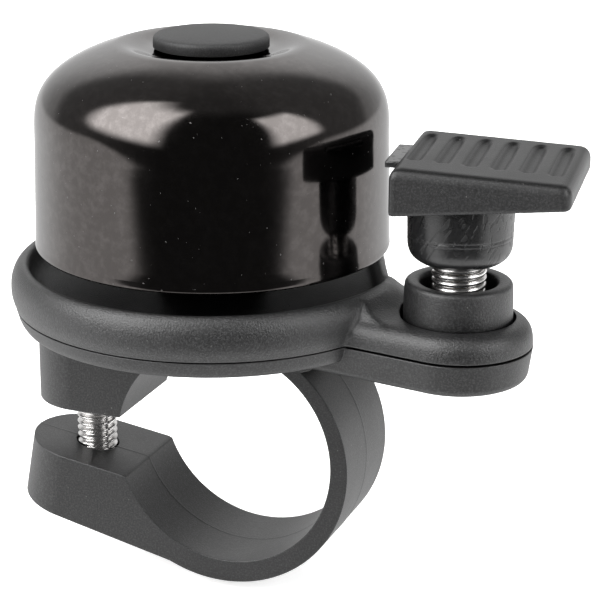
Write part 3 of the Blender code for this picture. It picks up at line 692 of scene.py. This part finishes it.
def lower_shell():
    """Disc plate, underside of the ear, the saddle over the bar and the upper lug."""
    rim = [(18.0, DISC_UNDER)] + rounded([(18.45, 1.35), (18.75, 1.8), (DISC_R, SEAM_Z)], 2)
    shell = turned("lower_shell", [(0, DISC_UNDER)] + rim + [(0, SEAM_Z)], (DOME_X, 0), ROUND)
    cut(shell, behind_flat(FLAT_REACH - 0.1))
    join(shell, ear_floor())
    saddle = [
        (SCREW_X, LUG_FACE_Z), (SCREW_X, 2.0), (LAND_HALF, 2.0), (LAND_HALF, BORE_Z), (0, BORE_Z),
        (-9.0, LUG_FACE_Z),
    ]
    join(shell, prism("saddle", saddle, -CLAMP_HALF, CLAMP_HALF, "Y"))
    join(shell, prism("lug", lug_outline(SCREW_X, -10.5), LUG_FACE_Z, 2.0))
    cut(shell, prism("bore", bore_outline(), -CLAMP_HALF - 1, CLAMP_HALF + 1, "Y"))
    cut(shell, prism("nut_pocket", hexagon(SCREW_X, 0, NUT_POCKET_HALF), NUT_POCKET_Z, SEAM_Z + 1))
    cut(shell, cylinder("screw_hole", (SCREW_X, 0), SCREW_R + NUT_HOLE_SLACK, LUG_FACE_Z - 1, 0))
    cut(shell, cylinder("cup_recess", (CUP_X, CUP_Y), FLANGE_ROOM_R, FLANGE_ROOM_Z, SEAM_Z + 1))
    for low, high in shell_screw_boxes():
        place = ((low.x + high.x) / 2, (low.y + high.y) / 2)
        cut(shell, cylinder("screw_way", place, 1.3, 0, SEAM_Z + 1, 48))
        cut(shell, cylinder("head_seat", place, 2.4, 0, DISC_UNDER + 0.7, 48))
    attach(dress(shell, LOWER_PLASTIC, "shell_plastic", "base_lower"), "base")


def shell_screw_boxes():
    return [box_mm("shell_screw_%d" % number) for number in (1, 2, 3)]


def ear_floor():
    """Lower half of the ear, tapered for the mould and rounded underneath."""
    fall = SEAM_Z - EAR_UNDER
    levels = rounded([
        (EAR_DRAFT * fall + 0.5, EAR_UNDER), (EAR_DRAFT * fall + 0.1, EAR_UNDER + 0.2),
        (EAR_DRAFT * (fall - 0.6), EAR_UNDER + 0.6),
    ], 2) + [(0.0, SEAM_Z - 0.1)]
    ear = ear_stack("ear_floor", levels)
    return cut(ear, prism("inner_end", box_outline(-4, 9.6, -20, 20), EAR_UNDER - 1, DISC_UNDER + 0.4))


def shell_screws():
    """Pan heads with a cross recess, let into the underside of the disc."""
    for number, (low, high) in enumerate(shell_screw_boxes(), 1):
        place = ((low.x + high.x) / 2, (low.y + high.y) / 2)
        seat = DISC_UNDER + 0.65
        dome_edge = rounded([(2.1, seat), (2.1, seat - 0.4), (1.6, seat - 0.64), (0, seat - 0.68)])
        shank = [(0, high.z), (0.7, high.z), (1.0, high.z - 0.4), (1.0, seat)]
        screw = turned("shell_screw_fine_%d" % number, shank + dome_edge, place, 48)
        for long, wide in ((1.1, 0.22), (0.22, 1.1)):
            recess = box_outline(place[0] - long, place[0] + long, place[1] - wide, place[1] + wide)
            cut(screw, prism("recess", recess, low.z - 1, low.z + 0.45))
        dress(screw, MATERIALS["bright_steel"], "bright_steel", "shell_screw_%d" % number)
        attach(screw, "base")


# --- dome ---------------------------------------------------------------------------------
def dome_shell():
    """Pressed bell: rolled lower edge, straight wall, rounded shoulder and dimpled crown."""
    outer = rounded([
        (RIM_R - 0.25, RIM_Z), (RIM_R - 0.04, RIM_Z + 0.02), (RIM_R + 0.03, RIM_Z + 0.2),
        (RIM_R + 0.02, RIM_Z + 0.4), (RIM_R - 0.02, RIM_Z + 0.8),
    ], 2)
    wall_steps, shoulder_steps = 12, 110
    for i in range(1, wall_steps + 1):
        t = i / wall_steps
        outer.append((RIM_R - 0.02 + (WALL_R - RIM_R + 0.02) * t, RIM_Z + 0.8 + (WALL_TOP - RIM_Z - 0.8) * t))
    for i in range(1, shoulder_steps + 1):
        t = (i / shoulder_steps) ** 2.2
        radius = WALL_R + (DIMPLE_FLAT_R - WALL_R) * t
        outer.append((radius, dome_height(radius)))
    hole_r = 2.9
    floor = dome_height(DIMPLE_FLAT_R)
    inner = []
    for i in range(len(outer) - 2, 6, -3):
        along = (Vector(outer[i + 1]) - Vector(outer[i - 1])).normalized()
        inner.append((outer[i][0] - along.y * SHELL_THICK, outer[i][1] + along.x * SHELL_THICK))
    crown = [(hole_r, floor), (hole_r, floor - SHELL_THICK), (DIMPLE_FLAT_R - 0.3, floor - SHELL_THICK)]
    edge = [(RIM_R - SHELL_THICK, RIM_Z + 0.2), (RIM_R - SHELL_THICK + 0.15, RIM_Z)]
    obj = turned("dome_shell", outer + crown + inner + edge, (DOME_X, 0), 256)
    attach(dress(obj, MATERIALS["black_chrome"], "black_chrome", "dome", angle=50), "base")


def cap_cover():
    """Low round cap with a soft edge and a slightly domed top."""
    low, high = cap_low.z, cap_high.z
    crown = rounded([
        (CAP_R, low), (CAP_R, low + 0.75), (CAP_R - 0.12, low + 1.02), (CAP_R - 0.5, low + 1.17),
        (3.0, high - 0.03), (0, high),
    ])
    inside = [(0, low + 0.9), (4.4, low + 0.9), (4.4, low)]
    obj = turned("cap_cover", crown + inside, (DOME_X, 0), 128)
    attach(dress(obj, CAP_PLASTIC, "shell_plastic", "cap", angle=50), "base")


# --- clamp --------------------------------------------------------------------------------
def strap_outline(proud=0.0):
    """Side view of the strap: the saddle's right leg, the band round the bar and the lower lug."""
    root = bore_point(HINGE_ANGLE, BAND_ROOT_R)
    inside_disc = DISC_UNDER + 0.6
    outline = [(LAND_HALF, inside_disc), (9.0 + proud, inside_disc)]
    leg = [(9.0, DISC_UNDER), (9.9, EAR_UNDER + 0.2), (9.2, root[1] + 0.35), root]
    outline += [(x + proud, z) for x, z in rounded(leg)[:-1]]
    start, steps = math.degrees(HINGE_ANGLE), 132
    for i in range(steps + 1):
        angle = math.radians(start - (start + BAND_SWEEP) * i / steps)
        outline.append(bore_point(angle, band_outer_radius(angle) + proud))
    for (x, z), lift in ((LOWER_FOOT, -proud), (LOWER_TOP_END, proud), (LOWER_TOP_BORE, proud)):
        outline.append((x, z + lift))
    last = math.degrees(math.atan2(LOWER_TOP_BORE[1] - BORE_Z, LOWER_TOP_BORE[0]))
    crown = 90 - math.degrees(math.asin(LAND_HALF / BAR_R))
    return outline + arc(0, BORE_Z, BAR_R - proud, last, crown, 160)[1:]


def strap():
    """One moulding from the saddle round the bar to the lower lug, with its parting line."""
    plain, proud = strap_outline(), strap_outline(PARTING_PROUD)
    half = PARTING_HALF
    levels = [
        (-CLAMP_HALF, plain), (-half, plain), (-half / 2, proud), (half / 2, proud), (half, plain),
        (CLAMP_HALF, plain),
    ]
    obj = skin("strap", [[(x, y, z) for x, z in outline] for y, outline in levels])
    combine(obj, leaning_plan(), "INTERSECT")
    cut(obj, cylinder("screw_hole", (SCREW_X, 0), SCREW_R + LUG_HOLE_SLACK, -30, -10))
    head_room = slot_outline(SCREW_X - 0.2, HEAD_ROOM_R, HEAD_ROOM_REACH)
    cut(obj, prism("head_room", head_room, -30, washer_high.z + 0.1))
    dress(obj, LOWER_PLASTIC, "shell_plastic", "clamp_band", angle=30)
    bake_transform(obj)


def leaning_plan():
    """Plan of the lower lug, produced upwards and downwards; its round end leans outwards."""
    low, high = -31, -3
    middle = -15
    shift = math.tan(LOWER_END_TILT)
    rings = []
    for z in (low, high):
        lean = (z - middle) * shift
        ring = []
        for x, y in lug_outline(-17.3, 25.0):
            ring.append((x + lean if x < -12 else x, y, z))
        rings.append(ring)
    plan = skin("plan", rings)
    return join(plan, prism("rest", box_outline(-12, 25, -CLAMP_HALF - 1, CLAMP_HALF + 1), high - 2, 12))


def clamp_washer():
    """Flat washer with blunted edges."""
    low, high = washer_low.z, washer_high.z
    edge = 0.05
    profile = [
        (WASHER_HOLE_R, low), (WASHER_R - edge, low), (WASHER_R, low + edge), (WASHER_R, high - edge),
        (WASHER_R - edge, high), (WASHER_HOLE_R, high),
    ]
    obj = turned("washer_fine", profile, (SCREW_X, 0))
    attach(dress(obj, MATERIALS["bright_steel"], "bright_steel", "clamp_washer"), "band")


def clamp_screw():
    """M4 screw with a real thread and a pan head with a cross recess."""
    low, high = washer_low.z - 0.1, screw_high.z
    rows_per_turn, segments = 16, 64
    rows = int((high - low) / SCREW_PITCH * rows_per_turn)
    rings = []
    for row in range(rows + 1):
        z = low + (high - low) * row / rows
        ring = []
        for i in range(segments):
            phase = (row / rows_per_turn - i / segments) % 1.0
            root = min(1.0, max(0.0, 1.25 - 1.5 * abs(2 * phase - 1)))
            fade = max(0.0, 1 - (rows - row) / (2 * rows_per_turn))
            radius = SCREW_R - THREAD_DEPTH * max(root, fade)
            angle = 2 * math.pi * i / segments
            ring.append((SCREW_X + radius * math.cos(angle), radius * math.sin(angle), z))
        rings.append(ring)
    obj = skin("clamp_screw_fine", rings)
    foot = screw_low.z
    head = [(0, low + 0.02), (HEAD_R, low + 0.02)] + rounded([
        (HEAD_R, low - 0.1), (HEAD_R, low - 1.7), (3.1, low - 2.25), (1.9, foot + 0.02), (0, foot)])
    join(obj, turned("head", head, (SCREW_X, 0)))
    for long, wide in ((2.2, 0.45), (0.45, 2.2)):
        outline = box_outline(SCREW_X - long, SCREW_X + long, -wide, wide)
        cut(obj, prism("drive", outline, -30, low - 1.1))
    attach(dress(obj, MATERIALS["bright_steel"], "bright_steel", "clamp_screw"), "screw")


# --- striker ------------------------------------------------------------------------------
def cup_turned():
    """Cup with a soft lip, on a flange that is held between the shells."""
    wall = rounded([
        (CUP_R + 0.02, 2.5), (CUP_R + 0.02, 3.5), (CUP_R, 5.0), (CUP_R - 0.05, CUP_TOP - 0.45),
        (4.78, CUP_TOP - 0.13), (4.45, CUP_TOP), (3.8, CUP_TOP - 0.05), (3.55, CUP_TOP - 0.25),
        (3.45, CUP_TOP - 0.75), (3.4, 4.0),
    ])
    profile = [(PEG_HOLE_R, 1.3), (5.6, 1.3), (5.6, 2.5)] + wall + [(PEG_HOLE_R, 4.0)]
    obj = turned("cup_turned", profile, (CUP_X, CUP_Y), 128)
    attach(dress(obj, MATERIALS["shell_plastic"], "shell_plastic", "cup"), "cup")


def spring_coil():
    """Close-wound spring; its lower turns stay in the cup."""
    per_turn, sides = 40, 12
    first = spring_low.z + WIRE_R
    rings = []
    for step in range(int(SPRING_TURNS * per_turn) + 1):
        angle = 2 * math.pi * step / per_turn
        z = first + SPRING_PITCH * step / per_turn
        ring = []
        for side in range(sides):
            t = 2 * math.pi * side / sides
            radius = SPRING_R + WIRE_R * math.cos(t)
            x, y = CUP_X + radius * math.cos(angle), CUP_Y + radius * math.sin(angle)
            ring.append((x, y, z + WIRE_R * math.sin(t)))
        rings.append(ring)
    obj = skin("spring_coil", rings)
    dress(obj, MATERIALS["bright_steel"], "bright_steel", "spring", angle=70)
    x, y, z = joints["striker_flick"]["pos_m"]
    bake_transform(obj)


def stem_turned():
    """Barrel between spring and lever: rounded foot, two fine rings and a bore for the spring."""
    low = stem_low.z
    foot = rounded([
        (STEM_BORE_R, low), (3.4, low + 0.03), (4.05, low + 0.35), (4.5, low + 0.8), (4.72, low + 1.4),
        (4.76, low + 1.9), (4.77, low + 2.3),
    ])
    rings = []
    for z in (low + 2.4, low + 2.75):
        rings += [(4.775, z), (4.75, z + 0.04), (4.75, z + 0.1), (4.78, z + 0.14)]
    profile = [(PEG_HOLE_R, STEM_TOP), (PEG_HOLE_R, STEM_BORE_Z), (STEM_BORE_R, STEM_BORE_Z)] + foot + rings
    profile += [(STEM_R, 15.8), (STEM_R, STEM_TOP)]
    obj = turned("stem_turned", profile, (CUP_X, CUP_Y), 128)
    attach(dress(obj, MATERIALS["stem_plastic"], "stem_plastic", "stem"), "striker")


def lever_pad():
    """Wedge-shaped thumb pad, well rounded on top, with six scooped grooves."""
    side = [
        (CUP_X + LEVER_IN, LEVER_LOW_IN), (CUP_X + LEVER_OUT, LEVER_LOW_OUT),
        (CUP_X + LEVER_OUT, LEVER_TOP_OUT), (CUP_X + LEVER_IN, LEVER_TOP_IN),
    ]
    obj = prism("lever_pad", side, CUP_Y - LEVER_HALF, CUP_Y + LEVER_HALF, "Y")
    round_lever(obj)
    for i in range(GROOVES):
        cut(obj, groove(GROOVE_FIRST + GROOVE_STEP * i, GROOVE_FRONT - 0.08 * i))
    melt(obj, voxel=0.14, passes=5)
    cut(obj, cylinder("socket", (CUP_X, CUP_Y), STEM_R + 0.05, 12, STEM_TOP + 0.3))
    pocket = box_outline(CUP_X - 9, CUP_X - 4.1, CUP_Y - 3.5, CUP_Y + 3.5)
    cut(obj, prism("pocket", pocket, tab_low.z - 0.11, tab_high.z + 0.11))
    turn(obj, STRIKE_YAW, (CUP_X, CUP_Y))
    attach(dress(obj, LEVER_PLASTIC, "shell_plastic", "lever"), "striker")


def round_lever(obj):
    """Rounds the top and the corners fully and the lower edges a little."""
    bm = bmesh.new()
    bm.from_mesh(obj.data)
    weight = bm.edges.layers.float.new("bevel_weight_edge")
    middle = (LEVER_LOW_OUT + LEVER_TOP_OUT) / 2 * MM
    for edge in bm.edges:
        low = min(vert.co.z for vert in edge.verts)
        high = max(vert.co.z for vert in edge.verts)
        outer = min(vert.co.x for vert in edge.verts) > CUP_X * MM
        edge[weight] = 0.3 if high < middle else 0.9 if low > middle or outer else 0.4
    bm.to_mesh(obj.data)
    bm.free()
    mod = obj.modifiers.new("bevel", "BEVEL")
    mod.width = LEVER_ROUND * MM
    mod.segments = 8
    mod.limit_method = "WEIGHT"
    bake(obj)


def groove(x, front):
    """Scoop for a thumb groove: a lying cylinder whose two ends rise to the surface."""
    slope = (LEVER_TOP_OUT - LEVER_TOP_IN) / (LEVER_OUT - LEVER_IN)
    z = LEVER_TOP_IN + slope * (x - LEVER_IN) + GROOVE_R - GROOVE_DEEP
    nose = [(0.4, 0.1), (0.28, 0.6), (0.0, 0.92), (-0.4, 1.0)]
    stations = [(front - reach, scale) for reach, scale in nose]
    stations += [(GROOVE_BACK + 3 * reach, scale) for reach, scale in reversed(nose)]
    sides = 48
    rings = []
    for y, scale in rounded(stations, 2):
        drop = (1 - scale) * 0.5
        ring = []
        for i in range(sides):
            t = 2 * math.pi * i / sides
            radius = GROOVE_R * scale
            ring.append((CUP_X + x + radius * math.sin(t), CUP_Y + y, z - radius * math.cos(t) - drop))
        rings.append(ring)
    return skin("groove", rings)


def striker_insert():
    """Hard tab in the lever's inner end."""
    obj = prism("striker_insert", box_outline(CUP_X - 6.4, CUP_X - 4.25, CUP_Y - 3.2, CUP_Y + 3.2),
                tab_low.z, tab_high.z)
    bevel(obj, 0.12, 4)
    turn(obj, STRIKE_YAW, (CUP_X, CUP_Y))
    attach(dress(obj, MATERIALS["stem_plastic"], "stem_plastic", "striker_tab"), "striker")


# --- studio -------------------------------------------------------------------------------
def window(graph, across, height, left, right, low, high, soft):
    """Mask of a bright rectangle in the surroundings, edges in degrees."""
    mask = graph.step(across, graph.math("SUBTRACT", left, soft), graph.math("ADD", left, soft))
    for value, edge in ((across, right), (height, high)):
        fade = graph.step(value, graph.math("SUBTRACT", edge, soft), graph.math("ADD", edge, soft), 1.0, 0.0)
        mask = graph.math("MULTIPLY", mask, fade)
    rise = graph.step(height, graph.math("SUBTRACT", low, soft), graph.math("ADD", low, soft))
    return graph.math("MULTIPLY", mask, rise)


def line(graph, value, at, level, slope):
    """A straight edge: level where value is at, and slope degrees more for each degree beyond."""
    return graph.math("MULTIPLY_ADD", graph.math("SUBTRACT", value, at), slope, level)


def studio():
    """Surroundings seen in reflections: two tall windows, a white backdrop and table, dark in front.

    Directions are in degrees: across is 0 towards the camera and grows to its right."""
    world = bpy.data.worlds.new("studio")
    bpy.context.scene.world = world
    world.use_nodes = True
    graph = Graph(world.node_tree)
    direction = graph.add("ShaderNodeTexCoord").outputs["Generated"]
    spun = graph.add("ShaderNodeVectorRotate", {"Vector": direction, "Angle": -CAMERA_AZIMUTH},
                     rotation_type="Z_AXIS").outputs[0]
    split = graph.add("ShaderNodeSeparateXYZ", {0: spun})
    x, y, z = split.outputs
    across = graph.math("DEGREES", graph.math("ARCTAN2", x, graph.math("MULTIPLY", y, -1.0)))
    height = graph.math("DEGREES", graph.math("ARCSINE", z))
    sideways = graph.math("ABSOLUTE", across)

    room = graph.step(sideways, 30.0, 95.0, 0.07, 0.38)
    level = graph.step(height, 62.0, 85.0, room, 0.24)

    backdrop = graph.step(sideways, graph.step(height, 5.0, 62.0, 112.0, 160.0),
                          graph.step(height, 5.0, 62.0, 124.0, 185.0))
    glow = graph.math("MULTIPLY", graph.step(sideways, 135.0, 172.0), graph.step(height, 5.0, 38.0))
    behind = graph.math("MULTIPLY_ADD", glow, 0.95, 0.9)
    behind = graph.math("MULTIPLY", behind, graph.step(height, 42.0, 66.0, 1.0, 0.15))
    level = mix_level(graph, backdrop, level, behind)

    table_edge = graph.step(sideways, 34.0, 85.0, -16.0, 2.0)
    table = graph.step(height, graph.math("ADD", table_edge, 1.0), graph.math("SUBTRACT", table_edge, 5.0))
    shown = graph.math("MAXIMUM", graph.step(sideways, 32.0, 54.0), graph.step(height, -25.0, -45.0))
    table = graph.math("MULTIPLY", table, shown)
    bright = graph.step(sideways, 115.0, 160.0, 1.95, 1.0)
    level = mix_level(graph, table, level, bright)

    left_window = window(
        graph, across, height, line(graph, height, 15.0, -86.0, -0.45), -35.0,
        line(graph, across, -36.0, 7.0, -0.2), 72.0, 8.0)
    right_window = window(
        graph, across, height, 42.0, 76.0, line(graph, across, 45.0, 4.0, 0.25), 56.0, 5.0)
    level = mix_level(graph, left_window, level, 8.0)
    level = mix_level(graph, right_window, level, 6.3)

    colour = graph.add("ShaderNodeCombineColor", {0: level, 1: level, 2: level}).outputs[0]
    surroundings = graph.add("ShaderNodeBackground", {"Color": colour})
    seen = graph.add("ShaderNodeBackground", {"Color": (1.0, 1.0, 1.0, 1.0)})
    camera_ray = graph.add("ShaderNodeLightPath").outputs["Is Camera Ray"]
    mixed = graph.add("ShaderNodeMixShader", {0: camera_ray, 1: surroundings.outputs[0], 2: seen.outputs[0]})
    graph.add("ShaderNodeOutputWorld", {"Surface": mixed.outputs[0]})


def mix_level(graph, mask, below, above):
    difference = graph.math("SUBTRACT", above, below)
    return graph.math("MULTIPLY_ADD", mask, difference, below)


FLOOR_GAP = 1.0                  # the floor lies this far under the object


def floor():
    """Pale floor that lights the object from below but isn't seen in reflections or from underneath."""
    half = 1500
    drop = CAD_BOUNDS[0][2] / MM - FLOOR_GAP
    outline = [(-half, -half, drop), (half, -half, drop), (half, half, drop), (-half, half, drop)]
    bm = bmesh.new()
    bm.faces.new([bm.verts.new(point) for point in outline])
    obj = mesh_object("floor", bm)
    mat, graph = new_material("pale_floor")
    place = graph.add("ShaderNodeTexCoord").outputs["Object"]
    cloud = graph.noise(place, 1 / (40 * MM), 3.0)
    tone = graph.mix(cloud, rgba((0.84, 0.84, 0.84)), rgba((0.88, 0.88, 0.88)))
    matt = graph.add("ShaderNodeBsdfDiffuse", {"Color": tone})
    lift = graph.add("ShaderNodeEmission", {"Color": tone, "Strength": 0.7})
    paper = graph.add("ShaderNodeAddShader", {0: matt.outputs[0], 1: lift.outputs[0]})
    clear = graph.add("ShaderNodeBsdfTransparent")
    glossy_ray = graph.add("ShaderNodeLightPath").outputs["Is Glossy Ray"]
    from_below = graph.add("ShaderNodeNewGeometry").outputs["Backfacing"]
    gone = graph.math("MAXIMUM", glossy_ray, from_below)
    mixed = graph.add("ShaderNodeMixShader", {0: gone, 1: paper.outputs[0], 2: clear.outputs[0]})
    graph.add("ShaderNodeOutputMaterial", {"Surface": mixed.outputs[0]})
    obj.data.materials.append(mat)


def camera():
    """Long lens, a little to the right of the object and above it."""
    az, el = CAMERA_AZIMUTH, CAMERA_ELEVATION
    back = Vector((math.sin(az) * math.cos(el), -math.cos(az) * math.cos(el), math.sin(el)))
    right = Vector((math.cos(az), math.sin(az), 0.0))
    up = back.cross(right)
    data = bpy.data.cameras.new("camera")
    data.lens = CAMERA_LENS
    data.sensor_width = CAMERA_SENSOR
    data.shift_x, data.shift_y = CAMERA_SHIFT
    data.clip_start = 0.001
    obj = bpy.data.objects.new("camera", data)
    turned_to = Matrix((right, up, back)).transposed().to_4x4()
    obj.matrix_world = Matrix.Translation(CAMERA_PLACE * MM) @ turned_to
    bpy.context.scene.collection.objects.link(obj)
    bpy.context.scene.camera = obj


paint_frame()
upper_shell()
lower_shell()
shell_screws()
dome_shell()
cap_cover()
strap()
clamp_washer()
clamp_screw()
cup_turned()
spring_coil()
stem_turned()
lever_pad()
striker_insert()
studio()
floor()
camera()
bpy.context.scene.view_settings.view_transform = "Standard"
